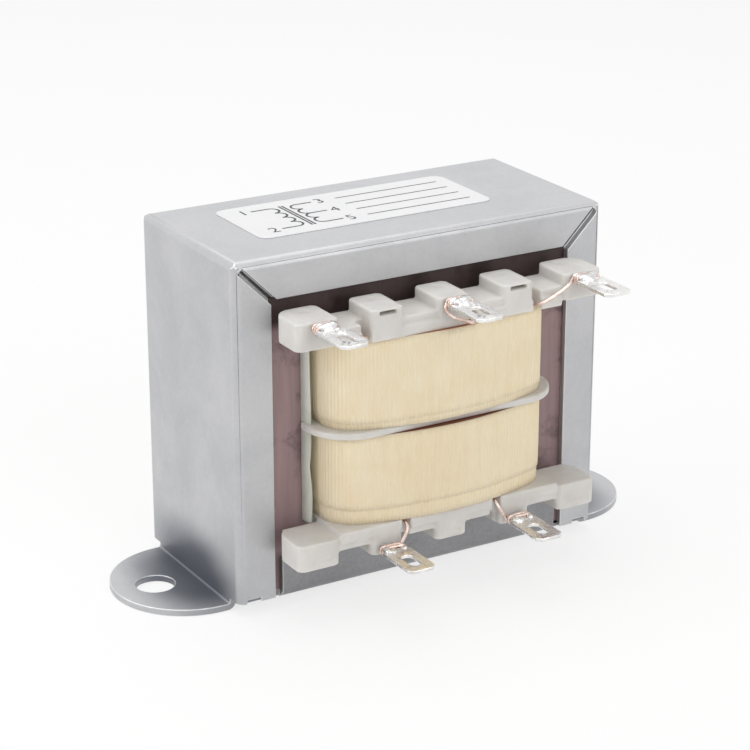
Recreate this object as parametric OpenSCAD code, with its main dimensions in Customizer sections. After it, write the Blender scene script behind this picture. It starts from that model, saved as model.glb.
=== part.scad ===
// Laminated chassis transformer: an E-I core clamped in a folded steel channel frame
// with two mounting feet, a two-section bobbin and solder lugs on its front rails.
// Millimetres, +Z up. X runs along the feet, -Y is the lug side, and the origin is
// midway between the two mounting holes, on the surface that the feet stand on.

/* [Core] */
// Width of the centre leg of the E laminations, which sets every lamination size
tongue_w = 19.05; // [17:0.05:22]
// Thickness of one lamination with its coating
plate_t = 0.645; // [0.6:0.005:0.7]
// Number of lamination layers in the stack
layers = 40; // [36:2:44]

/* [Frame] */
// Thickness of the folded steel sheet
sheet_t = 1; // [0.8:0.05:1.2]
// Outer radius of the frame's folds
bend_r = 1.3; // [1.25:0.05:1.8]
// Width of the flanges folded from the side walls
side_flange_w = 5.75; // [4:0.25:7]
// Height of the flanges folded from the top plate
top_flange_h = 5.85; // [4:0.25:7]
// Gap left between two flanges at the mitred corners
mitre_gap = 1.05; // [0.4:0.05:2]
// Height of the side flanges' lower edge above the seat
wall_foot_gap = 1.65; // [1.4:0.05:2]
// Length of the relief notch in the lower edge of each side flange
notch_w = 2.2; // [1:0.1:3.5]
// Height of that relief notch
notch_h = 0.6; // [0.3:0.1:1]

/* [Bottom channel] */
// Height of the bottom channel's underside above the seat
seat_gap = 1.375; // [1.2:0.025:1.6]
// Height of the bottom channel's flanges
bottom_flange_h = 5.8; // [4:0.2:6]
// Gap between the bottom channel's flanges and the side flanges
bottom_gap = 1.1; // [0.5:0.1:2]

/* [Mounting feet] */
// How far the centre of each mounting hole stands out from its side wall
hole_reach = 6.125; // [6:0.025:7]
// Diameter of the mounting holes
hole_d = 5.6; // [4.8:0.1:6]
// Width of each foot where it leaves the side wall
foot_w = 22.2; // [18:0.2:23]
// How far the tip of each foot stands out from its side wall
foot_reach = 12.1; // [11.8:0.1:14]

/* [Bobbin] */
// Wall thickness of the bobbin's tube
tube_wall = 0.9; // [0.7:0.1:1.2]
// Clearance between the bobbin and the core, all round
core_clear = 0.12; // [0.08:0.02:0.2]
// Thickness of the bobbin's two end flanges
end_flange_t = 0.8; // [0.6:0.05:1]
// Thickness of the flange between the two windings
mid_flange_t = 1; // [0.8:0.1:1.4]
// How far the bobbin's flanges stand out of the core's front and rear faces
flange_reach = 8.3; // [7.6:0.1:8.6]
// Corner radius of the bobbin's flanges
flange_r = 6.6; // [5:0.2:7]
// Width of the end flanges in front of the core
front_flange_w = 35.4; // [34.8:0.1:36]
// Width of the middle flange in front of the core
mid_flange_w = 38.6; // [37.4:0.1:38.8]

/* [Terminal rails] */
// Length of each terminal rail
rail_w = 48.6; // [47.4:0.2:50]
// Gap between the core's front face and the back of the rails
rail_gap = 1.95; // [1.9:0.05:2.2]
// Depth of each rail from back to front
rail_d = 6.85; // [6.4:0.05:7.4]
// Thickness of the rail between its blocks
rail_t = 2.1; // [1.8:0.05:2.6]
// Height of the terminal blocks above the rail
block_h = 1.75; // [1.5:0.05:2]
// Width of each inner terminal block
block_w = 5.15; // [4.8:0.05:5.6]
// Width of the two end blocks
end_block_w = 6.45; // [6:0.05:7]
// Distance between the centres of the inner blocks
block_pitch = 10.4; // [10:0.1:10.9]
// Radius of the blocks' corners
block_r = 1; // [0.4:0.1:1.4]
// Radius of the rear outer corner of each end block
end_block_r = 2.4; // [1.4:0.1:3]
// Diameter of the moulding marks on the blocks' outer faces
mark_d = 1.6; // [1.2:0.1:2]
// Depth of those marks
mark_depth = 0.12; // [0.05:0.01:0.2]
// How far the rail's front face stands back from the blocks
rail_step = 0.5; // [0.2:0.05:0.8]
// Width of the slots that let the leads out
lead_slot_w = 1.3; // [1.1:0.05:1.5]

/* [Lugs] */
// Width of a solder lug
lug_w = 4.3; // [3.8:0.1:4.8]
// Thickness of a solder lug
lug_t = 0.5; // [0.3:0.05:0.6]
// How far a lug stands out of its block
lug_reach = 9.4; // [8:0.1:10]
// Depth of the upper lugs' middle below the outer face of their blocks
upper_lug_depth = 0.55; // [0.45:0.05:2]
// Depth of the lower lugs' middle inside the outer face of their blocks
lower_lug_depth = 1.1; // [0.45:0.05:2]
// Length of the narrow neck between the block and the lug's head
lug_neck_l = 2.1; // [1.5:0.1:3]
// Width of the lug's neck and of its shank inside the block
lug_shank_w = 2.8; // [2.2:0.1:3.2]
// Length of the lug's shank inside the block
lug_shank_l = 4.6; // [3:0.1:5]
// Width of the slot in the lug
lug_slot_w = 1.7; // [1.2:0.1:2]
// Length of the slot in the lug
lug_slot_l = 3.6; // [2.6:0.1:4.2]
// Length of the lug between its slot and its tip
lug_tip_l = 1.5; // [1:0.1:2]
// Cut at the lug's two front corners
lug_chamfer = 0.7; // [0.3:0.1:1.2]
// Shift of the two outer front lugs from their blocks' centres, towards the middle
lug_shift = 0.45; // [0.25:0.05:1]

/* [Windings] */
// How far the coils bulge out of the core's front and rear faces
coil_reach = 9.5; // [9.1:0.1:10]
// Gap between the coils and the sides of the core's windows
coil_side_gap = 1.55; // [1.3:0.05:2]
// Radius of the coils' corners
coil_corner_r = 5.2; // [4:0.2:6]
// Radius of the coils' bulging front and rear
coil_bulge_r = 47; // [42:1:80]
// Thickness of the outer tape, both layers together
tape_t = 0.35; // [0.3:0.05:0.5]
// Thickness of its top layer
top_tape_t = 0.15; // [0.1:0.01:0.2]
// How far the top layer stays above the lower edge of the upper coil's tape
upper_tape_step = 0.9; // [0.3:0.1:3]
// How far the top layer stays above the lower edge of the lower coil's tape
lower_tape_step = 2.1; // [0.3:0.1:3]
// Diameter of the lead wires
wire_d = 0.8; // [0.5:0.05:0.9]

/* [Insulation and label] */
// Thickness of the insulating strips in the core's windows
strip_t = 0.3; // [0.2:0.05:0.4]
// How far those strips stand out of the core's faces
strip_reach = 1.85; // [1:0.05:1.85]
// Length of the label
label_l = 37.2; // [30:0.2:41]
// Width of the label
label_w = 15; // [12:0.5:18]
// Thickness of the label
label_t = 0.12; // [0.08:0.02:0.2]
// Radius of the label's corners
label_r = 1.6; // [0.5:0.1:3]
// Position of the label's centre along the top
label_x = -2.3; // [-3:0.1:3]
// Position of the label's centre across the top
label_y = 1.4; // [-2:0.1:2]

/* [Hidden] */
$fn = 64;
eps = 0.01;

// Scrapless E-I lamination: every size is a share of the tongue
core_w = 3 * tongue_w;
core_h = 2.5 * tongue_w;
leg_w = tongue_w / 2;
window_x = tongue_w;
stack_d = plate_t * layers;

// Levels above the seat
core_z = seat_gap + sheet_t;
core_top = core_z + core_h;
frame_top = core_top + sheet_t;
core_mid = core_z + core_h / 2;
window_z = core_z + leg_w;
window_top = core_top - leg_w;

// Outer faces of the frame
frame_w = core_w + 2 * sheet_t;
frame_d = stack_d + 2 * sheet_t;
face_y = stack_d / 2;
hole_spacing = frame_w + 2 * hole_reach;

// Bobbin levels, measured from the middle of the core outwards
bobbin_half = window_top - core_clear - core_mid;
coil_half = bobbin_half - end_flange_t;
rail_in = bobbin_half - 0.25;
rail_out = rail_in + rail_t;
block_out = rail_out + block_h;
tube_in = [tongue_w + 2 * core_clear, stack_d + 2 * core_clear];
tube_out = [tube_in[0] + 2 * tube_wall, tube_in[1] + 2 * tube_wall];
flange_w = 2 * (window_x - strip_t - core_clear);
flange_y = face_y + flange_reach;
rail_back = face_y + rail_gap;
rail_front = rail_back + rail_d;
flange_step_y = face_y + 2 * core_clear;

// Coil outline
coil_w = 2 * (window_x - coil_side_gap);
coil_d = 2 * (face_y + coil_reach);
coil_base = mid_flange_t / 2;
coil_h = coil_half - coil_base;

// Blocks and lugs along the rails
end_block_x = (rail_w - end_block_w) / 2;
inner_blocks = [-block_pitch, 0, block_pitch];
mark_y = -rail_back - block_r - mark_d / 2;
upper_lug_z = block_out - upper_lug_depth;
lower_lug_z = block_out - lower_lug_depth;
outer_lug_x = end_block_x - lug_shift;
shank_places = [-outer_lug_x, -block_pitch, 0, block_pitch, outer_lug_x];
wire_r = wire_d / 2;
wire_side = block_w / 2 + wire_r + 0.03;
// Distance of the outer front leads' slots from the rail's middle
outer_slot_x = block_pitch + wire_side + 0.2;
// Depth of the lead slots behind the rail's front face, by the middle and by the ends
mid_slot_d = 1.6;
end_slot_d = 2.7;

// ---------------------------------------------------------------- helpers

// Rectangle with round corners, centred
module round_rect(w, d, r) {
    square([w - 2 * r, d], center = true);
    square([w, d - 2 * r], center = true);
    for (x = [-1, 1], y = [-1, 1])
        translate([x * (w / 2 - r), y * (d / 2 - r)]) circle(r);
}

// Doorway outline: flat foot at 0, two round corners at the top
module round_top(w, h, r) {
    translate([-w / 2, 0]) square([w, h - r]);
    translate([-w / 2 + r, 0]) square([w - 2 * r, h]);
    for (x = [-1, 1]) translate([x * (w / 2 - r), h - r]) circle(r);
}

// Turns an outline drawn in X and Z into a bar along Y, centred
module along_y(d) {
    rotate([90, 0, 0]) linear_extrude(d, center = true) children();
}

// Turns an outline drawn in Y and Z into a bar along X, centred
module along_x(w) {
    rotate([90, 0, 90]) linear_extrude(w, center = true) children();
}

// Copies onto the other side of the plane X = 0
module both_x() {
    children();
    mirror([1, 0, 0]) children();
}

// Copies onto the other side of the plane Y = 0
module both_y() {
    children();
    mirror([0, 1, 0]) children();
}

// The level that lies dz above the middle of the core, or below it for dir = -1
module core_side(dir) {
    translate([0, 0, core_mid]) mirror([0, 0, dir < 0 ? 1 : 0]) children();
}

// ------------------------------------------------------------- steel frame

// Solid block with the outer form of the frame, folds rounded
module frame_block() {
    intersection() {
        linear_extrude(frame_top) round_rect(frame_w, frame_d, bend_r);
        along_y(frame_d) round_top(frame_w, frame_top, bend_r);
        along_x(frame_w) round_top(frame_d, frame_top, bend_r);
    }
}

// Opening between the flanges on the front and rear
module flange_window() {
    opening_w = frame_w - 2 * side_flange_w;
    translate([-opening_w / 2, -frame_d, -eps])
        cube([opening_w, 2 * frame_d, frame_top - top_flange_h + eps]);
}

// The mitred gap at one upper corner, cut through the flanges only
module mitre_cut() {
    run = 2 * max(side_flange_w, top_flange_h);
    inset = bend_r * 0.9;
    translate([frame_w / 2 - inset, 0, frame_top - inset])
        rotate([0, 45, 0])
        difference() {
            translate([-mitre_gap / 2, -frame_d, -run]) cube([mitre_gap, 2 * frame_d, run]);
            translate([-mitre_gap, -face_y, -run - 1]) cube([2 * mitre_gap, stack_d, run + 2]);
        }
}

// Half-round foot with its mounting hole, folded out of the side wall
module foot() {
    wall_x = frame_w / 2;
    end_r = foot_w / 2;
    fold_x = wall_x - sheet_t + bend_r;
    difference() {
        union() {
            linear_extrude(sheet_t) intersection() {
                translate([wall_x + foot_reach - end_r, 0]) circle(end_r);
                translate([fold_x, -foot_w]) square([2 * foot_w, 2 * foot_w]);
            }
            linear_extrude(sheet_t)
                translate([fold_x, -foot_w / 2])
                square([wall_x + foot_reach - end_r - fold_x, foot_w]);
            along_y(foot_w) intersection() {
                translate([fold_x, bend_r]) difference() {
                    circle(bend_r);
                    circle(bend_r - sheet_t);
                }
                translate([wall_x - sheet_t, 0]) square(bend_r);
            }
            along_y(foot_w)
                translate([wall_x - sheet_t, bend_r]) square([sheet_t, wall_foot_gap + 1]);
        }
        translate([hole_spacing / 2, 0, -1]) cylinder(d = hole_d, h = sheet_t + 2);
    }
}

module channel_frame() {
    color([0.72, 0.73, 0.74]) {
        difference() {
            frame_block();
            translate([-core_w / 2, -face_y, -1]) cube([core_w, stack_d, core_top + 1]);
            flange_window();
            both_x() mitre_cut();
            translate([-frame_w, -frame_d, -1]) cube([2 * frame_w, 2 * frame_d, 1 + wall_foot_gap]);
            both_x() both_y() translate([frame_w / 2 - bend_r - notch_w, face_y - eps, 0])
                cube([notch_w, 2 * sheet_t, wall_foot_gap + notch_h]);
        }
        both_x() foot();
    }
}

// Shallow channel that closes the frame under the core
module bottom_channel() {
    flange_l = frame_w - 2 * side_flange_w - 2 * bottom_gap;
    color([0.66, 0.67, 0.68]) translate([0, 0, seat_gap]) {
        difference() {
            along_x(flange_l) translate([0, bottom_flange_h]) mirror([0, 1])
                round_top(frame_d, bottom_flange_h, bend_r);
            translate([-frame_w / 2, -face_y, sheet_t]) cube([frame_w, stack_d, bottom_flange_h]);
        }
        translate([-core_w / 2, -face_y, 0]) cube([core_w, stack_d, sheet_t]);
    }
}

// -------------------------------------------------------------- laminations

// One E with its yoke at the top, drawn in X and Z from the bottom of the core
module e_outline() {
    difference() {
        translate([-core_w / 2, leg_w]) square([core_w, core_h - leg_w]);
        for (x = [tongue_w / 2, -tongue_w / 2 - leg_w])
            translate([x, leg_w - eps]) square([leg_w, core_h - 2 * leg_w + eps]);
    }
}

// One I, lying along the bottom of the core
module i_outline() {
    translate([-core_w / 2, 0]) square([core_w, leg_w]);
}

// Layer n of the stack, counted from the front; yoke_up = false turns it over
module layer(n, yoke_up) {
    translate([0, -face_y + (n + 0.5) * plate_t, yoke_up ? core_z : core_top])
        mirror([0, 0, yoke_up ? 0 : 1]) along_y(plate_t) children();
}

// Odd inner layers have their yoke at the bottom, even ones at the top
module inner_layers(yoke_up) {
    for (n = [yoke_up ? 2 : 1 : 2 : layers - 2]) layer(n, yoke_up) children();
}

module front_e_plate() { color([0.42, 0.33, 0.33]) layer(0, true) e_outline(); }
module front_i_strip() { color([0.42, 0.33, 0.33]) layer(0, true) i_outline(); }
module rear_e_plate() { color([0.42, 0.33, 0.33]) layer(layers - 1, false) e_outline(); }
module rear_i_strip() { color([0.42, 0.33, 0.33]) layer(layers - 1, false) i_outline(); }
module e_plates_yoke_up() { color([0.38, 0.30, 0.30]) inner_layers(true) e_outline(); }
module e_plates_yoke_down() { color([0.40, 0.32, 0.32]) inner_layers(false) e_outline(); }
module i_strips_bottom() { color([0.38, 0.30, 0.30]) inner_layers(true) i_outline(); }
module i_strips_top() { color([0.40, 0.32, 0.32]) inner_layers(false) i_outline(); }

// ------------------------------------------------------------------- bobbin

// Plan of a flange: it fills the window and widens to front_w in front of the core
module flange_plan(front_w) {
    square([flange_w, 2 * face_y], center = true);
    intersection() {
        round_rect(flange_w, 2 * flange_y, flange_r);
        translate([-core_w, 0]) square([2 * core_w, flange_y]);
    }
    intersection() {
        round_rect(front_w, 2 * flange_y, flange_r);
        translate([-core_w, -flange_y]) square([2 * core_w, flange_y - flange_step_y]);
    }
    translate([-flange_w / 2, -flange_step_y]) square([min(flange_w, front_w), 2 * core_clear]);
}

// One terminal block, from the rail's inner face outwards
module block(w) {
    translate([0, -(rail_back + rail_front) / 2, rail_in])
        linear_extrude(block_out - rail_in) round_rect(w, rail_d, block_r);
}

// The end block on the side of positive X, its rear outer corner rounded further
module end_block() {
    w = end_block_w;
    difference() {
        translate([end_block_x, 0, 0]) block(w);
        translate([end_block_x + w / 2 - end_block_r, -rail_back - end_block_r, rail_in - eps])
            linear_extrude(block_out - rail_in + 2 * eps) difference() {
                square(end_block_r + 1);
                circle(end_block_r);
            }
    }
}

// Terminal rail with its five blocks, pointing away from the middle of the core
module rail() {
    body_d = rail_d - rail_step;
    translate([-rail_w / 2 + block_r, -rail_back - body_d, rail_in])
        cube([rail_w - 2 * block_r, body_d, rail_t]);
    translate([-front_flange_w / 2, -rail_front, coil_half])
        cube([front_flange_w, rail_front - flange_step_y, rail_in + rail_t / 2 - coil_half]);
    for (x = inner_blocks) translate([x, 0, 0]) block(block_w);
    both_x() end_block();
}

// Slot for the shank of a lug at x and z, open at the block's front
module shank_slot(x, z) {
    translate([x - lug_shank_w / 2, -rail_front - eps, z - lug_t / 2])
        cube([lug_shank_w, lug_shank_l + eps, lug_t]);
}

// Slot through flange and rail that lets a lead out at x
module lead_slot(x, depth) {
    translate([x - lead_slot_w / 2, -rail_front - 1, coil_half - 1])
        cube([lead_slot_w, 1 + depth, rail_t + block_h + 3]);
}

module bobbin() {
    color([0.88, 0.88, 0.85]) difference() {
        union() {
            translate([0, 0, core_mid]) linear_extrude(2 * bobbin_half, center = true)
                square(tube_out, center = true);
            translate([0, 0, core_mid]) linear_extrude(mid_flange_t, center = true)
                flange_plan(mid_flange_w);
            for (dir = [-1, 1]) core_side(dir) {
                translate([0, 0, coil_half]) linear_extrude(end_flange_t)
                    flange_plan(front_flange_w);
                rail();
            }
        }
        translate([0, 0, core_mid]) linear_extrude(core_h, center = true)
            square(tube_in, center = true);
        for (dir = [-1, 1], x = shank_places) core_side(dir) {
            shank_slot(x, dir > 0 ? upper_lug_z : lower_lug_z);
            translate([x, mark_y, block_out - mark_depth]) cylinder(d = mark_d, h = 1);
        }
        core_side(1) {
            lead_slot(wire_side, mid_slot_d);
            both_x() lead_slot(outer_slot_x, end_slot_d);
        }
        core_side(-1) both_x() lead_slot(block_pitch - wire_side, mid_slot_d);
    }
}

// ----------------------------------------------------------------- windings

// Outline of a wound coil: straight sides, round corners and a bulged front and
// rear whose arcs run smoothly into the corners
module coil_plan(w, d, corner_r, bulge_r) {
    corner_x = w / 2 - corner_r;
    bulge_y = bulge_r - d / 2;
    corner_y = sqrt(pow(bulge_r - corner_r, 2) - pow(corner_x, 2)) - bulge_y;
    spread = bulge_r / (corner_y + bulge_y);
    square([w, 2 * corner_y], center = true);
    for (x = [-1, 1], y = [-1, 1])
        translate([x * corner_x, y * corner_y]) circle(corner_r);
    both_y() intersection() {
        translate([0, bulge_y]) circle(bulge_r, $fn = 180);
        polygon([[corner_x, -corner_y], [-corner_x, -corner_y],
                 [-corner_x * spread, -d / 2], [corner_x * spread, -d / 2]]);
    }
}

// Coil outline pulled in by a layer
module coil_layer(inset) {
    coil_plan(coil_w - 2 * inset, coil_d - 2 * inset, coil_corner_r - inset, coil_bulge_r - inset);
}

// Copper ring between the bobbin's tube and the tape
module winding(dir) {
    core_side(dir) translate([0, 0, coil_base]) linear_extrude(coil_h) difference() {
        coil_layer(tape_t);
        square(tube_out, center = true);
    }
}

// Two layers of tape round the winding whose lower edge lies at the level z; the top
// layer starts one step higher
module tape(z, step) {
    translate([0, 0, z]) {
        linear_extrude(coil_h) difference() {
            coil_layer(top_tape_t);
            coil_layer(tape_t);
        }
        translate([0, 0, step]) linear_extrude(coil_h - step) difference() {
            coil_layer(0);
            coil_layer(top_tape_t + eps);
        }
    }
}

module primary_winding() { color([0.72, 0.42, 0.25]) winding(-1); }
module secondary_winding() { color([0.72, 0.42, 0.25]) winding(1); }
module primary_tape() { color([0.88, 0.80, 0.66]) tape(core_mid - coil_half, lower_tape_step); }
module secondary_tape() { color([0.88, 0.80, 0.66]) tape(core_mid + coil_base, upper_tape_step); }

// Strip against a leg's inner side, slotted in front for the middle flange
module window_strip() {
    strip_h = window_top - window_z - 2 * core_clear;
    slot_h = mid_flange_t + 2 * core_clear;
    difference() {
        translate([window_x - strip_t, -face_y - strip_reach, core_mid - strip_h / 2])
            cube([strip_t, stack_d + 2 * strip_reach, strip_h]);
        translate([window_x - 2 * strip_t, -face_y - 2 * strip_reach, core_mid - slot_h / 2])
            cube([3 * strip_t, 2 * strip_reach - core_clear, slot_h]);
    }
}

module left_window_strip() { color([0.80, 0.82, 0.76]) mirror([1, 0, 0]) window_strip(); }
module right_window_strip() { color([0.80, 0.82, 0.76]) window_strip(); }

// ----------------------------------------------------------- lugs and leads

// Flat lug in its block, at the place x along a rail and z above the core's middle
module lug(x, z) {
    tip_y = rail_front + lug_reach;
    head_y = rail_front + lug_neck_l;
    slot_y = tip_y - lug_slot_l / 2 - lug_tip_l;
    translate([x, 0, z - lug_t / 2]) difference() {
        union() {
            linear_extrude(lug_t) polygon([
                [-lug_w / 2, -head_y], [lug_w / 2, -head_y],
                [lug_w / 2, -tip_y + lug_chamfer], [lug_w / 2 - lug_chamfer, -tip_y],
                [-lug_w / 2 + lug_chamfer, -tip_y], [-lug_w / 2, -tip_y + lug_chamfer]]);
            translate([-lug_shank_w / 2, -head_y - eps, 0])
                cube([lug_shank_w, lug_neck_l + lug_shank_l + eps, lug_t]);
        }
        for (side = [-1, 1])
            translate([0, -slot_y + side * (lug_slot_l - lug_slot_w) / 2, -1])
                cylinder(d = lug_slot_w, h = lug_t + 2);
        translate([-lug_slot_w / 2, -slot_y - (lug_slot_l - lug_slot_w) / 2, -1])
            cube([lug_slot_w, lug_slot_l - lug_slot_w, lug_t + 2]);
    }
}

function unit(v) = v / norm(v);

// Point at t on the curve that rounds the corner b between a and c
function on_bend(a, b, c, t) = pow(1 - t, 2) * a + 2 * t * (1 - t) * b + pow(t, 2) * c;

// Route through the points with each corner rounded
function round_route(points, bend) = [
    points[0],
    for (n = [1 : len(points) - 2], t = [0 : 0.25 : 1])
        on_bend(points[n] + bend * unit(points[n - 1] - points[n]), points[n],
                points[n] + bend * unit(points[n + 1] - points[n]), t),
    points[len(points) - 1]];

// Ring of points round place p, square to the direction of travel
function wire_ring(p, along, r, sides) =
    let (u = unit(cross([0, 1, 1], along)), v = cross(unit(along), u))
    [for (k = [0 : sides - 1]) p + r * (cos(360 * k / sides) * u + sin(360 * k / sides) * v)];

// Round wire along a route
module wire(points, r, bend, sides = 10) {
    path = round_route(points, bend);
    last = len(path) - 1;
    rings = [for (n = [0 : last])
        wire_ring(path[n], path[min(n + 1, last)] - path[max(n - 1, 0)], r, sides)];
    walls = [for (n = [0 : last - 1], k = [0 : sides - 1])
        [n * sides + k, n * sides + (k + 1) % sides,
         (n + 1) * sides + (k + 1) % sides, (n + 1) * sides + k]];
    start = [for (k = [sides - 1 : -1 : 0]) k];
    end = [for (k = [0 : sides - 1]) last * sides + k];
    polyhedron([for (ring = rings, p = ring) p], concat(walls, [start, end]));
}

// Lead from the end face of a coil, through the rail's slot and across its lug at
// lug_x and lug_z; side tells on which side of the lug the slot lies
module lead(slot_x, slot_d, lug_x, lug_z, side) {
    slot_y = -rail_front + slot_d - wire_r - 0.1;
    over_z = lug_z + lug_t / 2 + wire_r;
    over_y = -rail_front - lug_neck_l / 2;
    wire([[slot_x, slot_y, coil_half],
        [slot_x, slot_y, over_z],
        [slot_x, over_y, over_z],
        [lug_x - side * (lug_shank_w / 2 + wire_r / 2), over_y, over_z]], wire_r, wire_d);
}

tin = [0.80, 0.79, 0.77];
wire_tin = [0.78, 0.62, 0.55];
module secondary_start_lug() { color(tin) core_side(1) lug(-outer_lug_x, upper_lug_z); }
module secondary_tap_lug() { color(tin) core_side(1) lug(0, upper_lug_z); }
module secondary_end_lug() { color(tin) core_side(1) lug(outer_lug_x, upper_lug_z); }
module primary_start_lug() { color(tin) core_side(-1) lug(-block_pitch, lower_lug_z); }
module primary_end_lug() { color(tin) core_side(-1) lug(block_pitch, lower_lug_z); }

module secondary_start_lead() {
    color(wire_tin) core_side(1) lead(-outer_slot_x, end_slot_d, -outer_lug_x, upper_lug_z, 1);
}
module secondary_tap_lead() {
    color(wire_tin) core_side(1) lead(wire_side, mid_slot_d, 0, upper_lug_z, 1);
}
module secondary_end_lead() {
    color(wire_tin) core_side(1) lead(outer_slot_x, end_slot_d, outer_lug_x, upper_lug_z, -1);
}
module primary_start_lead() {
    color(wire_tin) core_side(-1)
        lead(wire_side - block_pitch, mid_slot_d, -block_pitch, lower_lug_z, 1);
}
module primary_end_lead() {
    color(wire_tin) core_side(-1)
        lead(block_pitch - wire_side, mid_slot_d, block_pitch, lower_lug_z, -1);
}

// -------------------------------------------------------------------- label

module label() {
    color([0.95, 0.95, 0.95]) translate([label_x, label_y, frame_top])
        linear_extrude(label_t) round_rect(label_l, label_w, label_r);
}

channel_frame();
bottom_channel();
front_e_plate();
front_i_strip();
rear_e_plate();
rear_i_strip();
e_plates_yoke_up();
e_plates_yoke_down();
i_strips_top();
i_strips_bottom();
bobbin();
primary_winding();
secondary_winding();
primary_tape();
secondary_tape();
left_window_strip();
right_window_strip();
secondary_start_lug();
secondary_tap_lug();
secondary_end_lug();
primary_start_lug();
primary_end_lug();
secondary_start_lead();
secondary_tap_lead();
secondary_end_lead();
primary_start_lead();
primary_end_lead();
label();
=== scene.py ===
# %% [markdown]
# # A laminated chassis transformer
# A stack of thin E and I plates is clamped in a folded, zinc-plated steel frame. A nylon bobbin
# slides over the middle leg of the stack, carries two coils under woven tape, and holds the
# solder lugs on rails in front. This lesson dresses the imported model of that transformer:
# it keeps every size from the model and adds the soft edges, the weave, the wire and the wear.

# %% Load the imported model
import math
import random

import bmesh
import bpy
from mathutils import Matrix, Vector, noise


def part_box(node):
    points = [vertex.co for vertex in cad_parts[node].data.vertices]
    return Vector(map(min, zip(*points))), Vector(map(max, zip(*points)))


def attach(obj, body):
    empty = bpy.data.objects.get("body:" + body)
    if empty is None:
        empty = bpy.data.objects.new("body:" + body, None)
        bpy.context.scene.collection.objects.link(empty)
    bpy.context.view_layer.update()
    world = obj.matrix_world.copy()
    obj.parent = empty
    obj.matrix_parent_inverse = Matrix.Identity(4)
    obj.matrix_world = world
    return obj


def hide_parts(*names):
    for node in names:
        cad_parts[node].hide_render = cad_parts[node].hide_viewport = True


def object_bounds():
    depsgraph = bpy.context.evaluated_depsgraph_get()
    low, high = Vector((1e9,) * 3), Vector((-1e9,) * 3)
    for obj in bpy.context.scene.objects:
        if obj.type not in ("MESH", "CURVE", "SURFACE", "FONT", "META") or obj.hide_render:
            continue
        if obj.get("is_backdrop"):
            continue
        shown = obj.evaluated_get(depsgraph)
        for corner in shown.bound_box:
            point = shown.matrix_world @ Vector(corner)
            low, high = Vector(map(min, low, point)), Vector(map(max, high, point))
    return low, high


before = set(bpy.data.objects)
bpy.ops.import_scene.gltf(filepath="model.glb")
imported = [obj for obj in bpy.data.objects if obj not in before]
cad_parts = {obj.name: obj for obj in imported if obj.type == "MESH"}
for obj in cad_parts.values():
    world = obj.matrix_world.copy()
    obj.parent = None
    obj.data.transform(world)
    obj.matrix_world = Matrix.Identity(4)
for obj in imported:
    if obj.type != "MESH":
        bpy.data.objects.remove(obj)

MM = 0.001
cad_low, cad_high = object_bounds()
print("model box, mm:", [round(v / MM, 2) for v in (*cad_low, *cad_high)])

# %% [markdown]
# ## Small helpers for shader trees
# A material is a tree of nodes. Typing every link by hand is slow to read, so one helper adds a
# node, sets its values and links its inputs in a single line. Constants go straight onto a
# shader's own sockets, because other programs read them from there.

# %% Helpers for node trees
def add_node(tree, kind, **inputs):
    """Adds a node. Each input is a value, or another node's output to link."""
    node = tree.nodes.new(kind)
    for name, value in inputs.items():
        if isinstance(getattr(node, name, None), (str, bool)) or name in ("operation", "blend_type"):
            setattr(node, name, value)
            continue
        socket = node.inputs[int(name[1:])] if name[0] == "_" else node.inputs[name.replace("_", " ")]
        if isinstance(value, bpy.types.NodeSocket):
            tree.links.new(value, socket)
        else:
            socket.default_value = value
    return node


def math_node(tree, operation, a, b=0.0, clamp=False):
    node = add_node(tree, "ShaderNodeMath", operation=operation, _0=a, _1=b)
    node.use_clamp = clamp
    return node.outputs[0]


def mix_colours(tree, factor, a, b, blend="MIX"):
    node = tree.nodes.new("ShaderNodeMix")
    node.data_type = "RGBA"
    node.blend_type = blend
    for index, value in ((0, factor), (6, a), (7, b)):
        if isinstance(value, bpy.types.NodeSocket):
            tree.links.new(value, node.inputs[index])
        else:
            node.inputs[index].default_value = value
    return node.outputs[2]


def ramp(tree, factor, stops, smooth=True):
    """Colour ramp. stops are (position, grey value or colour)."""
    node = tree.nodes.new("ShaderNodeValToRGB")
    node.color_ramp.interpolation = "EASE" if smooth else "LINEAR"
    elements = node.color_ramp.elements
    while len(elements) < len(stops):
        elements.new(0.5)
    for element, (position, colour) in zip(elements, stops):
        element.position = position
        grey = isinstance(colour, (int, float))
        element.color = (colour, colour, colour, 1) if grey else (*colour[:3], 1)
    tree.links.new(factor, node.inputs[0])
    return node.outputs[0]


def new_group(name, inputs, outputs):
    """Empty shader group with named sockets; returns the tree and its input and output nodes."""
    tree = bpy.data.node_groups.new(name, "ShaderNodeTree")
    for socket, kind, default in inputs:
        made = tree.interface.new_socket(socket, in_out="INPUT", socket_type=kind)
        if default is not None:
            made.default_value = default
    for socket, kind in outputs:
        tree.interface.new_socket(socket, in_out="OUTPUT", socket_type=kind)
    return tree, tree.nodes.new("NodeGroupInput"), tree.nodes.new("NodeGroupOutput")


def place_group(tree, group, **inputs):
    node = tree.nodes.new("ShaderNodeGroup")
    node.node_tree = group
    for name, value in inputs.items():
        socket = node.inputs[name.replace("_", " ")]
        if isinstance(value, bpy.types.NodeSocket):
            tree.links.new(value, socket)
        else:
            socket.default_value = value
    return node


def new_material(name, **shader_values):
    """Material with a Principled BSDF; returns it, its tree, the shader and object coordinates."""
    material = bpy.data.materials.new(name)
    material.use_nodes = True
    tree = material.node_tree
    shader = tree.nodes["Principled BSDF"]
    for key, value in shader_values.items():
        shader.inputs[key.replace("_", " ")].default_value = value
    where = tree.nodes.new("ShaderNodeTexCoord").outputs["Object"]
    return material, tree, shader, where


def bump(tree, shader, height, distance, strength=1.0):
    node = add_node(tree, "ShaderNodeBump", Height=height, Distance=distance, Strength=strength)
    tree.links.new(node.outputs[0], shader.inputs["Normal"])
    return node


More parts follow.
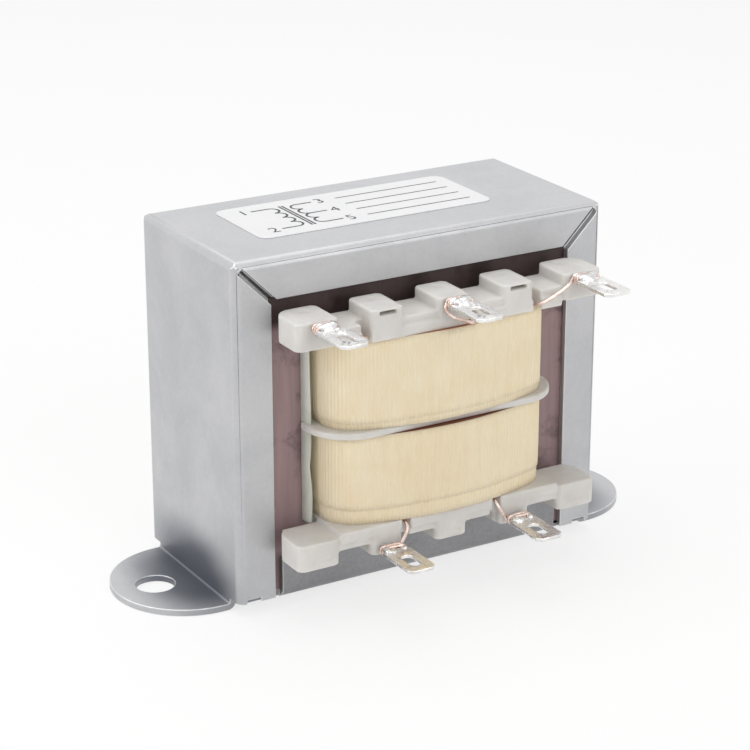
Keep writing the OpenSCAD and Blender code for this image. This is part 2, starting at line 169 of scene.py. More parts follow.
FLOAT, COLOUR, VECTOR = "NodeSocketFloat", "NodeSocketColor", "NodeSocketVector"
print("helpers ready")

# %% [markdown]
# ## Effects that several finishes share
# Cloudy variation, long streaks and worn edges turn up on steel, varnish, nylon and tin alike.
# Each is a shader group: it takes the place on the object and a few sizes, and puts out a mask
# from 0 to 1, which each material then uses in its own way.

# %% Cloud, streak and wear groups
def make_cloud_group():
    """Soft patches of two sizes: broad clouds broken up by finer ones."""
    tree, source, result = new_group(
        "Clouds",
        [("Vector", VECTOR, None), ("Size", FLOAT, 0.01), ("Low", FLOAT, 0.35), ("High", FLOAT, 0.65)],
        [("Mask", FLOAT)])
    scale = math_node(tree, "DIVIDE", 1.0, source.outputs["Size"])
    broad = add_node(tree, "ShaderNodeTexNoise", Vector=source.outputs["Vector"], Scale=scale,
                     Detail=4.0, Roughness=0.6, Distortion=0.6)
    spread = add_node(tree, "ShaderNodeMapRange", Value=broad.outputs[0],
                      From_Min=source.outputs["Low"], From_Max=source.outputs["High"])
    tree.links.new(spread.outputs[0], result.inputs["Mask"])
    return tree


def make_streak_group():
    """Noise drawn out along one direction; Stretch is a vector of scales per axis."""
    tree, source, result = new_group(
        "Streaks",
        [("Vector", VECTOR, None), ("Stretch", VECTOR, (1, 1, 1)), ("Low", FLOAT, 0.35), ("High", FLOAT, 0.65)],
        [("Mask", FLOAT)])
    drawn = add_node(tree, "ShaderNodeVectorMath", operation="MULTIPLY",
                     _0=source.outputs["Vector"], _1=source.outputs["Stretch"])
    streaks = add_node(tree, "ShaderNodeTexNoise", Vector=drawn.outputs[0], Scale=1.0,
                       Detail=3.0, Roughness=0.55)
    spread = add_node(tree, "ShaderNodeMapRange", Value=streaks.outputs[0],
                      From_Min=source.outputs["Low"], From_Max=source.outputs["High"])
    tree.links.new(spread.outputs[0], result.inputs["Mask"])
    return tree


def make_wear_group():
    """Turns the edge marks stored on a mesh into a patchy mask of worn edges."""
    tree, source, result = new_group(
        "Edge wear",
        [("Vector", VECTOR, None), ("Edge", FLOAT, 0.0), ("Patch Size", FLOAT, 0.003), ("Amount", FLOAT, 0.5)],
        [("Mask", FLOAT)])
    scale = math_node(tree, "DIVIDE", 1.0, source.outputs["Patch Size"])
    patches = add_node(tree, "ShaderNodeTexNoise", Vector=source.outputs["Vector"], Scale=scale, Detail=3.0)
    raised = math_node(tree, "ADD", patches.outputs[0], source.outputs["Amount"])
    covered = math_node(tree, "SUBTRACT", raised, 0.5)
    mask = math_node(tree, "MULTIPLY", source.outputs["Edge"], covered, clamp=True)
    tree.links.new(mask, result.inputs["Mask"])
    return tree


clouds = make_cloud_group()
streaks = make_streak_group()
edge_wear = make_wear_group()


def make_fold_shade_group():
    """Mask of 1 at a centre that fades to 0 at the given reach along each axis; the place is
    mirrored onto positive X first, so that both ends of the object are treated alike. The steel
    uses it for painted shade in the creases of its feet."""
    tree, source, result = new_group(
        "Painted fold shade", [("Vector", VECTOR, None), ("Centre", VECTOR, (0, 0, 0)), ("Reach", VECTOR, (1, 1, 1))],
        [("Mask", FLOAT)])
    mirrored = add_node(tree, "ShaderNodeVectorMath", operation="ABSOLUTE", _0=source.outputs["Vector"])
    away = add_node(tree, "ShaderNodeVectorMath", operation="SUBTRACT",
                    _0=mirrored.outputs[0], _1=source.outputs["Centre"])
    scaled = add_node(tree, "ShaderNodeVectorMath", operation="DIVIDE",
                      _0=away.outputs[0], _1=source.outputs["Reach"])
    distance = add_node(tree, "ShaderNodeVectorMath", operation="LENGTH", _0=scaled.outputs[0])
    fade = tree.nodes.new("ShaderNodeMapRange")
    fade.interpolation_type = "SMOOTHSTEP"
    fade.inputs["From Min"].default_value = 0.35
    fade.inputs["To Min"].default_value = 1.0
    fade.inputs["To Max"].default_value = 0.0
    tree.links.new(distance.outputs["Value"], fade.inputs["Value"])
    tree.links.new(fade.outputs[0], result.inputs["Mask"])
    return tree


fold_shade_group = make_fold_shade_group()
print("shader groups:", clouds.name, streaks.name, edge_wear.name, fold_shade_group.name)


def edge_mark(tree):
    """The mark that rounded edges carry, 1 along the middle of an edge and 0 elsewhere."""
    node = tree.nodes.new("ShaderNodeAttribute")
    node.attribute_name = "edge"
    return node.outputs["Fac"]

# %% [markdown]
# ## Zinc-plated steel
# The frame and the channel under the core are cold-rolled steel with bright zinc plating. Zinc
# is a satin grey-blue metal: it shows faint cloudy patches from the plating bath, and its folded
# and cut edges are polished brighter. A metal shader with a soft cloud in colour and roughness
# gives that without any picture of steel. Near the folds of the feet the colour is also pulled
# towards a dark blue grey: that is painted shade in the creases.

# %% Steel materials
# Centre and reach of the painted shade in the creases where the feet fold out.
FOOT_FOLD = (30.5 * MM, 0.0, 1.0 * MM)
FOLD_SHADE_REACH = (10.0 * MM, 17.0 * MM, 10.0 * MM)


def make_zinc_steel(name, light, dark, edge):
    material, tree, shader, where = new_material(name, Metallic=0.7, Roughness=0.42)
    cloud = place_group(tree, clouds, Vector=where, Size=0.012, Low=0.3, High=0.7).outputs[0]
    grain = place_group(tree, clouds, Vector=where, Size=0.0006, Low=0.2, High=0.8).outputs[0]
    tint = mix_colours(tree, cloud, (*dark, 1), (*light, 1))
    fine = mix_colours(tree, math_node(tree, "MULTIPLY", grain, 0.12), tint, (0.9, 0.9, 0.9, 1))
    worn = place_group(tree, edge_wear, Vector=where, Edge=edge_mark(tree), Patch_Size=0.002,
                       Amount=0.55).outputs[0]
    # Painted shade: near the foot folds the colour is pulled towards a dark blue grey.
    painted_fold_shade = place_group(tree, fold_shade_group, Vector=where, Centre=FOOT_FOLD, Reach=FOLD_SHADE_REACH).outputs[0]
    fold_shaded = mix_colours(tree, math_node(tree, "MULTIPLY", painted_fold_shade, 0.85), fine, (0.10, 0.11, 0.14, 1))
    colour = mix_colours(tree, worn, fold_shaded, (*edge, 1))
    tree.links.new(colour, shader.inputs["Base Color"])
    rough = ramp(tree, cloud, [(0.0, 0.48), (1.0, 0.38)])
    tree.links.new(rough, shader.inputs["Roughness"])
    bump(tree, shader, grain, 0.000012)
    return material


zinc_frame = make_zinc_steel("zinc_frame", (0.545, 0.545, 0.555), (0.460, 0.465, 0.480), (0.84, 0.84, 0.84))
# The channel's copy of the same steel is much darker: painted shade from the bobbin above it.
zinc_channel_painted_shade = make_zinc_steel("zinc_channel_painted_shade", (0.27, 0.27, 0.28), (0.20, 0.20, 0.21), (0.60, 0.60, 0.60))
print("steel:", zinc_frame.name, zinc_channel_painted_shade.name)

# %% [markdown]
# ## Varnished laminations
# Each plate is silicon steel with a thin oxide, dipped in varnish: a dull mauve brown with
# vertical rolling streaks and darker stains where the varnish ran. Higher up the plates the
# colour goes nearly black: that band is painted shade under the top flange.

# %% Lamination materials
# Heights at which the painted shade on the upper part of the plates begins and is full.
SHADE_BAND_FROM = 40.2 * MM
SHADE_BAND_FULL = 41.6 * MM


def make_plate_material(name, light, dark):
    material, tree, shader, where = new_material(name, Metallic=0.25, Roughness=0.5)
    streak = place_group(tree, streaks, Vector=where, Stretch=(1100, 1100, 60), Low=0.35, High=0.7).outputs[0]
    stain = place_group(tree, clouds, Vector=where, Size=0.007, Low=0.5, High=0.62).outputs[0]
    base = mix_colours(tree, streak, (*light, 1), tuple(0.82 * v for v in light) + (1,))
    stained = mix_colours(tree, math_node(tree, "MULTIPLY", stain, 0.75), base, (*dark, 1))
    # Painted shade: from 40.2 mm up the colour darkens, and it is nearly black above 41.6 mm.
    height = add_node(tree, "ShaderNodeSeparateXYZ", Vector=where).outputs[2]
    painted_shade_band = add_node(tree, "ShaderNodeMapRange", Value=height, From_Min=SHADE_BAND_FROM, From_Max=SHADE_BAND_FULL)
    colour = mix_colours(tree, math_node(tree, "MULTIPLY", painted_shade_band.outputs[0], 0.9), stained, (0.035, 0.020, 0.019, 1))
    tree.links.new(colour, shader.inputs["Base Color"])
    tree.links.new(ramp(tree, stain, [(0.0, 0.55), (1.0, 0.35)]), shader.inputs["Roughness"])
    bump(tree, shader, streak, 0.00001)
    return material


plate_face = make_plate_material("plate_face", (0.330, 0.225, 0.230), (0.110, 0.068, 0.072))
plate_edges = make_plate_material("plate_edges", (0.190, 0.130, 0.125), (0.080, 0.055, 0.050))
for node in ("front_e_plate", "front_i_strip", "rear_e_plate", "rear_i_strip"):
    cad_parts[node].data.materials.clear()
    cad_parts[node].data.materials.append(plate_face)
for node in ("e_plates_yoke_up", "e_plates_yoke_down", "i_strips_top", "i_strips_bottom"):
    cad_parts[node].data.materials.clear()
    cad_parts[node].data.materials.append(plate_edges)
print("plates dressed")

# %% [markdown]
# ## Nylon, tape, paper, tin, copper and the label
# Natural nylon lets light in a little, so it gets a short subsurface depth. The tape is cream
# glass cloth, the window strips are greenish white paper, and the lugs are brass with a
# bright, slightly uneven coat of tin.

# %% The other materials
def make_nylon():
    material, tree, shader, where = new_material(
        "natural_nylon", Roughness=0.42, Subsurface_Weight=0.35, Subsurface_Scale=0.0012,
        Subsurface_Radius=(1.0, 1.0, 0.85))
    cloud = place_group(tree, clouds, Vector=where, Size=0.005, Low=0.3, High=0.7).outputs[0]
    colour = mix_colours(tree, cloud, (0.66, 0.635, 0.60, 1), (0.76, 0.74, 0.71, 1))
    tree.links.new(colour, shader.inputs["Base Color"])
    tree.links.new(ramp(tree, cloud, [(0.0, 0.5), (1.0, 0.36)]), shader.inputs["Roughness"])
    fine = place_group(tree, clouds, Vector=where, Size=0.0009, Low=0.3, High=0.7).outputs[0]
    bump(tree, shader, fine, 0.00002)
    return material


def make_cloth_tape():
    material, tree, shader, where = new_material("cloth_tape", Roughness=0.85, Sheen_Weight=0.2)
    cloud = place_group(tree, clouds, Vector=where, Size=0.009, Low=0.3, High=0.7).outputs[0]
    thread = place_group(tree, streaks, Vector=where, Stretch=(900, 900, 220), Low=0.3, High=0.7).outputs[0]
    base = mix_colours(tree, cloud, (0.830, 0.690, 0.460, 1), (0.880, 0.755, 0.540, 1))
    colour = mix_colours(tree, math_node(tree, "MULTIPLY", thread, 0.35), base, (0.93, 0.84, 0.65, 1))
    tree.links.new(colour, shader.inputs["Base Color"])
    bump(tree, shader, thread, 0.00003)
    return material


def make_paper():
    material, tree, shader, where = new_material("window_paper", Roughness=0.6)
    cloud = place_group(tree, clouds, Vector=where, Size=0.006, Low=0.3, High=0.7).outputs[0]
    colour = mix_colours(tree, cloud, (0.56, 0.58, 0.50, 1), (0.70, 0.70, 0.64, 1))
    tree.links.new(colour, shader.inputs["Base Color"])
    fibre = place_group(tree, streaks, Vector=where, Stretch=(2000, 2000, 500), Low=0.3, High=0.7).outputs[0]
    bump(tree, shader, fibre, 0.00002)
    return material


def make_tin(name, light, dark, low, high):
    material, tree, shader, where = new_material(name, Metallic=1.0, Roughness=0.25)
    cloud = place_group(tree, clouds, Vector=where, Size=0.0022, Low=0.35, High=0.65).outputs[0]
    colour = mix_colours(tree, cloud, (*light, 1), (*dark, 1))
    tree.links.new(colour, shader.inputs["Base Color"])
    tree.links.new(ramp(tree, cloud, [(0.0, low), (1.0, high)]), shader.inputs["Roughness"])
    bump(tree, shader, cloud, 0.00006)
    return material


def make_winding():
    material, tree, shader, where = new_material("magnet_wire", Metallic=0.9, Roughness=0.35)
    turns = tree.nodes.new("ShaderNodeTexWave")
    turns.bands_direction = "Z"
    turns.inputs["Scale"].default_value = 600
    tree.links.new(where, turns.inputs["Vector"])
    colour = mix_colours(tree, turns.outputs["Fac"], (0.30, 0.10, 0.04, 1), (0.62, 0.27, 0.13, 1))
    tree.links.new(colour, shader.inputs["Base Color"])
    bump(tree, shader, turns.outputs["Fac"], 0.00008)
    return material


def make_label_paper():
    material, tree, shader, where = new_material("label_paper", Roughness=0.35, Coat_Weight=0.3)
    cloud = place_group(tree, clouds, Vector=where, Size=0.004, Low=0.2, High=0.8).outputs[0]
    colour = mix_colours(tree, cloud, (0.82, 0.82, 0.83, 1), (0.86, 0.86, 0.865, 1))
    tree.links.new(colour, shader.inputs["Base Color"])
    bump(tree, shader, cloud, 0.00001)
    return material


def make_ink():
    material, tree, shader, where = new_material("printing_ink", Roughness=0.5)
    cloud = place_group(tree, clouds, Vector=where, Size=0.0004, Low=0.3, High=0.7).outputs[0]
    colour = mix_colours(tree, cloud, (0.02, 0.02, 0.025, 1), (0.06, 0.06, 0.07, 1))
    tree.links.new(colour, shader.inputs["Base Color"])
    return material


nylon = make_nylon()
cloth_tape = make_cloth_tape()
window_paper = make_paper()
bright_tin = make_tin("bright_tin", (0.91, 0.90, 0.89), (0.70, 0.68, 0.66), 0.18, 0.36)
solder = make_tin("solder", (0.88, 0.88, 0.88), (0.55, 0.54, 0.54), 0.12, 0.4)
tinned_wire = make_tin("tinned_wire", (0.82, 0.68, 0.62), (0.60, 0.44, 0.38), 0.2, 0.35)
magnet_wire = make_winding()
label_paper = make_label_paper()
ink = make_ink()
for node in ("primary_winding", "secondary_winding"):
    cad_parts[node].data.materials.clear()
    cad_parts[node].data.materials.append(magnet_wire)
print("materials:", len(bpy.data.materials))

# %% [markdown]
# ## Making pieces
# Every finished piece rides on the one rigid body and may stand for a node of the model, whose
# own mesh is then hidden. One helper does both.

# %% Helpers for pieces
def finish_piece(piece, slot, *nodes):
    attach(piece, "root")
    if nodes:
        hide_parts(*nodes)
    faces = sum(len(p.vertices) - 2 for p in piece.data.polygons)
    print(f"{piece.name}: {faces} triangles")
    return piece


def mesh_object(name, mesh, material):
    piece = bpy.data.objects.new(name, mesh)
    bpy.context.scene.collection.objects.link(piece)
    if material is not None:
        mesh.materials.clear()
        mesh.materials.append(material)
    return piece


def bake_modifiers(piece):
    """Replaces a piece's mesh by what its modifiers make of it, and removes them."""
    depsgraph = bpy.context.evaluated_depsgraph_get()
    mesh = bpy.data.meshes.new_from_object(piece.evaluated_get(depsgraph))
    piece.modifiers.clear()
    if piece.type == "MESH":
        piece.data = mesh
        return piece
    name = piece.name
    bpy.data.objects.remove(piece)
    return mesh_object(name, mesh, None)


def merged_copy(node):
    """The CAD node's mesh with its loose triangles joined into one skin of flat faces."""
    skin = bmesh.new()
    skin.from_mesh(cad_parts[node].data)
    bmesh.ops.remove_doubles(skin, verts=skin.verts, dist=0.002 * MM)
    bmesh.ops.dissolve_limit(skin, angle_limit=math.radians(0.5), verts=skin.verts, edges=skin.edges)
    return skin


def rounded_copy(node, name, material, radius, steps=2, sharp_angle=35):
    """Copy of a CAD node with its sharp edges rounded; the rounded faces carry the mark 'edge'."""
    skin = merged_copy(node)
    sharp = [e for e in skin.edges
             if len(e.link_faces) == 2 and e.calc_face_angle(0) > math.radians(sharp_angle)]
    mark = skin.faces.layers.float.new("edge")
    made = bmesh.ops.bevel(skin, geom=sharp, offset=radius, segments=steps, profile=0.5,
                           affect="EDGES", clamp_overlap=False)
    for face in made["faces"]:
        face[mark] = 1.0
    bmesh.ops.triangulate(skin, faces=[f for f in skin.faces if len(f.verts) > 4])
    mesh = bpy.data.meshes.new(name)
    skin.to_mesh(mesh)
    skin.free()
    mesh.shade_smooth()
    piece = mesh_object(name, mesh, material)
    keep_flats_flat(piece)
    return piece


def keep_flats_flat(piece):
    """Smooth shading in which large faces keep their own direction and only roundings bend."""
    weigh = piece.modifiers.new("weigh", "WEIGHTED_NORMAL")
    weigh.mode = "FACE_AREA"
    weigh.weight = 100
    bake_modifiers(piece)


print("piece helpers ready")

# %% [markdown]
# ## The steel frame and the channel that closes it
# The real parts are blanked and folded from 1 mm sheet. The model already has the folds, so what
# is missing is the tiny rounding that a press and a plating bath leave on every cut edge. The
# edges are bevelled by a tenth of a millimetre, and remember that they are edges, so that the
# steel can be brighter there.

# %% Frame and channel
EDGE_ROUND = 0.12 * MM
steel_frame = rounded_copy("channel_frame", "steel_frame", zinc_frame, EDGE_ROUND)
finish_piece(steel_frame, "zinc_steel", "channel_frame")
closing_channel = rounded_copy("bottom_channel", "closing_channel", zinc_channel_painted_shade, EDGE_ROUND)
finish_piece(closing_channel, "zinc_steel", "bottom_channel")

# %% [markdown]
# ## The bobbin
# A moulded part has no sharp edge anywhere. Bevelling hundreds of short edges one by one is
# fragile, so the bobbin's skin is rebuilt from small cells instead, which rounds every corner
# alike, and smoothed. Cells that lie flat beside each other are merged to keep the mesh light.

# %% Moulded bobbin
def moulded(node, name, material, cell, merge, passes):
    """Copy of a CAD node rebuilt from small cells, which rounds every corner alike."""
    skin = merged_copy(node)
    mesh = bpy.data.meshes.new(name)
    skin.to_mesh(mesh)
    skin.free()
    piece = mesh_object(name, mesh, material)
    remesh = piece.modifiers.new("cells", "REMESH")
    remesh.mode = "VOXEL"
    remesh.voxel_size = cell
    remesh.adaptivity = merge
    soften = piece.modifiers.new("soften", "SMOOTH")
    soften.iterations = passes
    bake_modifiers(piece)
    piece.data.shade_smooth()
    return piece


BOBBIN_CELL = 0.2 * MM
CELL_MERGE = 0.02 * MM
bobbin = moulded("bobbin", "moulded_bobbin", nylon, BOBBIN_CELL, CELL_MERGE, passes=1)
keep_flats_flat(bobbin)
finish_piece(bobbin, "nylon", "bobbin")

# %% [markdown]
# ## The tape
# Woven glass tape closes each coil. It is a long ribbed band that follows the coil's outline, so
# Geometry Nodes make it: a flat grid is laid round an outline curve, and each column is pushed
# out by a rib. The outline itself is the coil's plan: straight sides, round corners and a front
# and rear that bulge. A second, slightly wider band lies under the outer one.

# %% Outline of a coil
COIL_CORNER_R = 5.2 * MM
COIL_BULGE_R = 47.0 * MM
TAPE_T = 0.35 * MM
RIB_PITCH = 0.54 * MM


def arc(centre, radius, start, end, steps):
    """Points on an arc, angles in degrees."""
    angles = [math.radians(start + (end - start) * n / steps) for n in range(steps + 1)]
    return [(centre[0] + radius * math.cos(a), centre[1] + radius * math.sin(a)) for a in angles]


def coil_outline(low, high, inset):
    """Plan of a coil, pulled in by inset, as points anticlockwise from the right-hand side."""
    half_w = high.x - inset
    half_d = high.y - inset
    corner = COIL_CORNER_R - inset
    bulge = COIL_BULGE_R - inset
    corner_x = half_w - corner
    bulge_y = bulge - half_d
    corner_y = math.sqrt((bulge - corner) ** 2 - corner_x ** 2) - bulge_y
    turn = math.degrees(math.atan2(corner_y + bulge_y, corner_x))
    quarter = arc((corner_x, corner_y), corner, 0, turn, 24)
    rear = arc((0, -bulge_y), bulge, turn, 180 - turn, 80)
    half = quarter + rear[1:] + [(-x, y) for x, y in reversed(quarter)][1:]
    return half + [(-x, -y) for x, y in half]


upper_low, upper_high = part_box("secondary_tape")
lower_low, lower_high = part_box("primary_tape")
outline = coil_outline(upper_low, upper_high, 0)
length = sum(math.dist(a, b) for a, b in zip(outline, outline[1:] + outline[:1]))
ribs = round(length / RIB_PITCH)
print(f"outline {length / MM:.1f} mm, {ribs} ribs")


# %% Geometry Nodes for a ribbed band
def geometry_tree(name, inputs):
    """Empty Geometry Nodes tree whose first input and only output are geometry."""
    tree = bpy.data.node_groups.new(name, "GeometryNodeTree")
    tree.interface.new_socket("Geometry", in_out="INPUT", socket_type="NodeSocketGeometry")
    for socket, kind, default in inputs:
        made = tree.interface.new_socket(socket, in_out="INPUT", socket_type=kind)
        if default is not None:
            made.default_value = default
    tree.interface.new_socket("Geometry", in_out="OUTPUT", socket_type="NodeSocketGeometry")
    return tree, tree.nodes.new("NodeGroupInput"), tree.nodes.new("NodeGroupOutput")


def run_tree(piece, tree, **values):
    """Runs a Geometry Nodes tree on a piece with these inputs and keeps the plain mesh."""
    modifier = piece.modifiers.new(tree.name, "NODES")
    modifier.node_group = tree
    names = {item.name: item.identifier for item in tree.interface.items_tree
             if item.item_type == "SOCKET" and item.in_out == "INPUT"}
    for name, value in values.items():
        modifier[names[name.replace("_", " ")]] = value
    return bake_modifiers(piece)


def make_band_tree():
    tree, source, result = geometry_tree("Ribbed band", [
        ("Ribs", "NodeSocketInt", 270), ("Samples", "NodeSocketInt", 6), ("Rows", "NodeSocketInt", 14),
        ("Bottom", FLOAT, 0.0), ("Height", FLOAT, 0.01), ("Rib Depth", FLOAT, 0.00004),
        ("Crown", FLOAT, 0.0), ("Wave", FLOAT, 0.0), ("Edge Wave", FLOAT, 0.0), ("Seed", FLOAT, 0.0),
        ("Material", "NodeSocketMaterial", None)])
    value = source.outputs
    columns = math_tree(tree, "MULTIPLY", value["Ribs"], value["Samples"])
    around = math_tree(tree, "ADD", columns, 1.0)
    grid = tree.nodes.new("GeometryNodeMeshGrid")
    tree.links.new(around, grid.inputs["Vertices X"])
    tree.links.new(value["Rows"], grid.inputs["Vertices Y"])
    place = tree.nodes.new("GeometryNodeInputPosition")
    split = add_node(tree, "ShaderNodeSeparateXYZ", Vector=place.outputs[0])
    along = math_tree(tree, "ADD", split.outputs[0], 0.5)
    up = math_tree(tree, "ADD", split.outputs[1], 0.5)
    curve = tree.nodes.new("GeometryNodeSampleCurve")
    curve.use_all_curves = True
    tree.links.new(value["Geometry"], curve.inputs["Curves"])
    tree.links.new(along, curve.inputs["Factor"])
    tangent = add_node(tree, "ShaderNodeSeparateXYZ", Vector=curve.outputs["Tangent"])
    outward = add_node(tree, "ShaderNodeCombineXYZ", X=tangent.outputs[1],
                       Y=math_tree(tree, "MULTIPLY", tangent.outputs[0], -1.0))
    angle = math_tree(tree, "MULTIPLY", math_tree(tree, "MULTIPLY", along, value["Ribs"]), math.tau)
    rib = math_tree(tree, "MULTIPLY", math_tree(tree, "COSINE", angle), value["Rib Depth"])
    centred = math_tree(tree, "MULTIPLY", split.outputs[1], 2.0)
    crown = math_tree(tree, "SUBTRACT", 1.0, math_tree(tree, "POWER", math_tree(tree, "ABSOLUTE", centred), 2.5))
    crown = math_tree(tree, "MULTIPLY", crown, value["Crown"])
    seeded = add_node(tree, "ShaderNodeCombineXYZ", Z=value["Seed"])
    shifted = add_node(tree, "ShaderNodeVectorMath", operation="ADD", _0=curve.outputs["Position"],
                       _1=seeded.outputs[0])
    ripple = add_node(tree, "ShaderNodeTexNoise", Vector=shifted.outputs[0], Scale=140.0, Detail=2.0)
    wave = math_tree(tree, "MULTIPLY", math_tree(tree, "SUBTRACT", ripple.outputs[0], 0.5), value["Wave"])
    push = math_tree(tree, "ADD", math_tree(tree, "ADD", rib, crown), wave)
    lift = math_tree(tree, "MULTIPLY", math_tree(tree, "SUBTRACT", ripple.outputs[0], 0.5), value["Edge Wave"])
    down = math_tree(tree, "SUBTRACT", 1.0, up)
    height = math_tree(tree, "ADD", math_tree(tree, "MULTIPLY", up, value["Height"]), value["Bottom"])
    height = math_tree(tree, "ADD", height, math_tree(tree, "MULTIPLY", lift, down))
    pushed = add_node(tree, "ShaderNodeVectorMath", operation="SCALE", _0=outward.outputs[0])
    tree.links.new(push, pushed.inputs["Scale"])
    on_curve = add_node(tree, "ShaderNodeVectorMath", operation="ADD", _0=curve.outputs["Position"],
                        _1=pushed.outputs[0])
    raised = add_node(tree, "ShaderNodeCombineXYZ", Z=height)
    final = add_node(tree, "ShaderNodeVectorMath", operation="ADD", _0=on_curve.outputs[0],
                     _1=raised.outputs[0])
    store = tree.nodes.new("GeometryNodeStoreNamedAttribute")
    store.data_type = "FLOAT"
    store.inputs["Name"].default_value = "rib"
    tree.links.new(grid.outputs[0], store.inputs["Geometry"])
    tree.links.new(math_tree(tree, "COSINE", angle), store.inputs["Value"])
    move = add_node(tree, "GeometryNodeSetPosition", Geometry=store.outputs[0], Position=final.outputs[0])
    merge = add_node(tree, "GeometryNodeMergeByDistance", Geometry=move.outputs[0], Distance=0.01 * MM)
    real = add_node(tree, "GeometryNodeRealizeInstances", Geometry=merge.outputs[0])
    paint = add_node(tree, "GeometryNodeSetMaterial", Geometry=real.outputs[0], Material=value["Material"])
    tree.links.new(paint.outputs[0], result.inputs[0])
    return tree


def math_tree(tree, operation, a, b=0.0):
    node = tree.nodes.new("ShaderNodeMath")
    node.operation = operation
    for socket, value in zip(node.inputs, (a, b)):
        if isinstance(value, bpy.types.NodeSocket):
            tree.links.new(value, socket)
        else:
            socket.default_value = value
    return node.outputs[0]


def closed_curve(name, points):
    """A closed poly curve through flat points."""
    curve = bpy.data.curves.new(name, "CURVE")
    curve.dimensions = "3D"
    spline = curve.splines.new("POLY")
    spline.points.add(len(points) - 1)
    for point, (x, y) in zip(spline.points, points):
        point.co = (x, y, 0, 1)
    spline.use_cyclic_u = True
    piece = bpy.data.objects.new(name, curve)
    bpy.context.scene.collection.objects.link(piece)
    return piece


band_tree = make_band_tree()
print("band tree nodes:", len(band_tree.nodes))


# %% Four bands of tape
def tape_band(name, low, high, inset, bottom, top, thickness, seed):
    """One closed band of tape whose outer ribs just touch the coil's outline."""
    rib_depth = 0.045 * MM
    piece = closed_curve(name, coil_outline(low, high, inset + rib_depth + 0.05 * MM))
    piece = run_tree(piece, band_tree, Ribs=ribs, Samples=6, Rows=12, Bottom=bottom,
                     Height=top - bottom, Rib_Depth=rib_depth, Crown=0.03 * MM, Wave=0.1 * MM,
                     Edge_Wave=0.5 * MM, Seed=seed, Material=cloth_tape)
    wall = piece.modifiers.new("wall", "SOLIDIFY")
    wall.thickness = thickness
    wall.offset = -1
    bake_modifiers(piece)
    piece.data.shade_smooth()
    return piece


UPPER_BAND_STEP = 0.9 * MM
LOWER_BAND_STEP = 2.1 * MM
for side, (low, high), step, node in (
        ("upper", (upper_low, upper_high), UPPER_BAND_STEP, "secondary_tape"),
        ("lower", (lower_low, lower_high), LOWER_BAND_STEP, "primary_tape")):
    under = tape_band(side + "_tape_under", low, high, 0.16 * MM, low.z, high.z, 0.18 * MM, 3.0)
    finish_piece(under, "cloth_tape", node)
    over = tape_band(side + "_tape_over", low, high, 0.0, low.z + step, high.z, 0.14 * MM, 7.0)
    finish_piece(over, "cloth_tape", node)

# %% [markdown]
# ## Window strips
# A strip of insulating paper stands between each coil and the leg beside it, and sticks out of
# the window in front and behind. Paper that is only tucked in is never flat, so the strips are
# made as a fine grid that bows a little along its length.

# %% Wavy strips
def window_strip(name, node, seed):
    low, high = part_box(node)
    side = 1 if low.x > 0 else -1
    sheet = bmesh.new()
    columns, rows = 24, 64
    notch_half = 0.75 * MM
    middle = (low.z + high.z) / 2
    depth = high.y - low.y
    inner = (low.x + high.x) / 2 if side > 0 else (low.x + high.x) / 2
    grid = []
    for r in range(rows + 1):
        z = low.z + (high.z - low.z) * r / rows
        row = []
        for c in range(columns + 1):
            y = low.y + depth * c / columns
            out = max(0.0, abs(y) - 12.9 * MM)
            bow = 0.35 * MM * math.sin(math.tau * (z - low.z) / (high.z - low.z) + seed)
            bow += 0.5 * MM * (noise.noise(Vector((seed, y * 60, z * 90))) - 0.1)
            row.append(sheet.verts.new((inner - side * abs(bow) * out / (1.85 * MM), y, z)))
        grid.append(row)
    for r in range(rows):
        for c in range(columns):
            sheet.faces.new((grid[r][c], grid[r][c + 1], grid[r + 1][c + 1], grid[r + 1][c]))
    mesh = bpy.data.meshes.new(name)
    sheet.to_mesh(mesh)
    sheet.free()
    piece = mesh_object(name, mesh, window_paper)
    wall = piece.modifiers.new("wall", "SOLIDIFY")
    wall.thickness = high.x - low.x
    wall.offset = 0
    bake_modifiers(piece)
    piece.data.shade_smooth()
    return finish_piece(piece, "insulating_paper", node)


window_strip("left_paper_strip", "left_window_strip", 0.6)
window_strip("right_paper_strip", "right_window_strip", 2.1)

# %% [markdown]
# ## Lugs
# The five lugs are stamped from thin brass and tinned. Stamping leaves a small rounding along
# the rim, and that rim is what catches the light, so it is bevelled like the frame's edges.

# %% Solder lugs
LUGS = ("secondary_start", "secondary_tap", "secondary_end", "primary_start", "primary_end")
LUG_ROUND = 0.1 * MM
for lug in LUGS:
    piece = rounded_copy(lug + "_lug", lug + "_terminal", bright_tin, LUG_ROUND)
    finish_piece(piece, "tinned_brass", lug + "_lug")

# %% [markdown]
# ## Leads
# Each winding ends in a bare tinned wire. It comes out of a slot in the rail, runs to the neck
# of its lug and is wound round it before it is soldered. The route is a short list of points,
# then a loop works out the turns, and a Geometry Nodes tree sweeps a round section along it.

# %% Geometry Nodes for a wire
def make_wire_tree():
    tree, source, result = geometry_tree("Wire", [
        ("Radius", FLOAT, 0.00025), ("Sides", "NodeSocketInt", 12), ("Material", "NodeSocketMaterial", None)])
    profile = tree.nodes.new("GeometryNodeCurvePrimitiveCircle")
    tree.links.new(source.outputs["Sides"], profile.inputs["Resolution"])
    tree.links.new(source.outputs["Radius"], profile.inputs["Radius"])
    sweep = tree.nodes.new("GeometryNodeCurveToMesh")
    tree.links.new(source.outputs["Geometry"], sweep.inputs["Curve"])
    tree.links.new(profile.outputs[0], sweep.inputs["Profile Curve"])
    sweep.inputs["Fill Caps"].default_value = True
    real = add_node(tree, "GeometryNodeRealizeInstances", Geometry=sweep.outputs[0])
    paint = add_node(tree, "GeometryNodeSetMaterial", Geometry=real.outputs[0],
                     Material=source.outputs["Material"])
    tree.links.new(paint.outputs[0], result.inputs[0])
    return tree


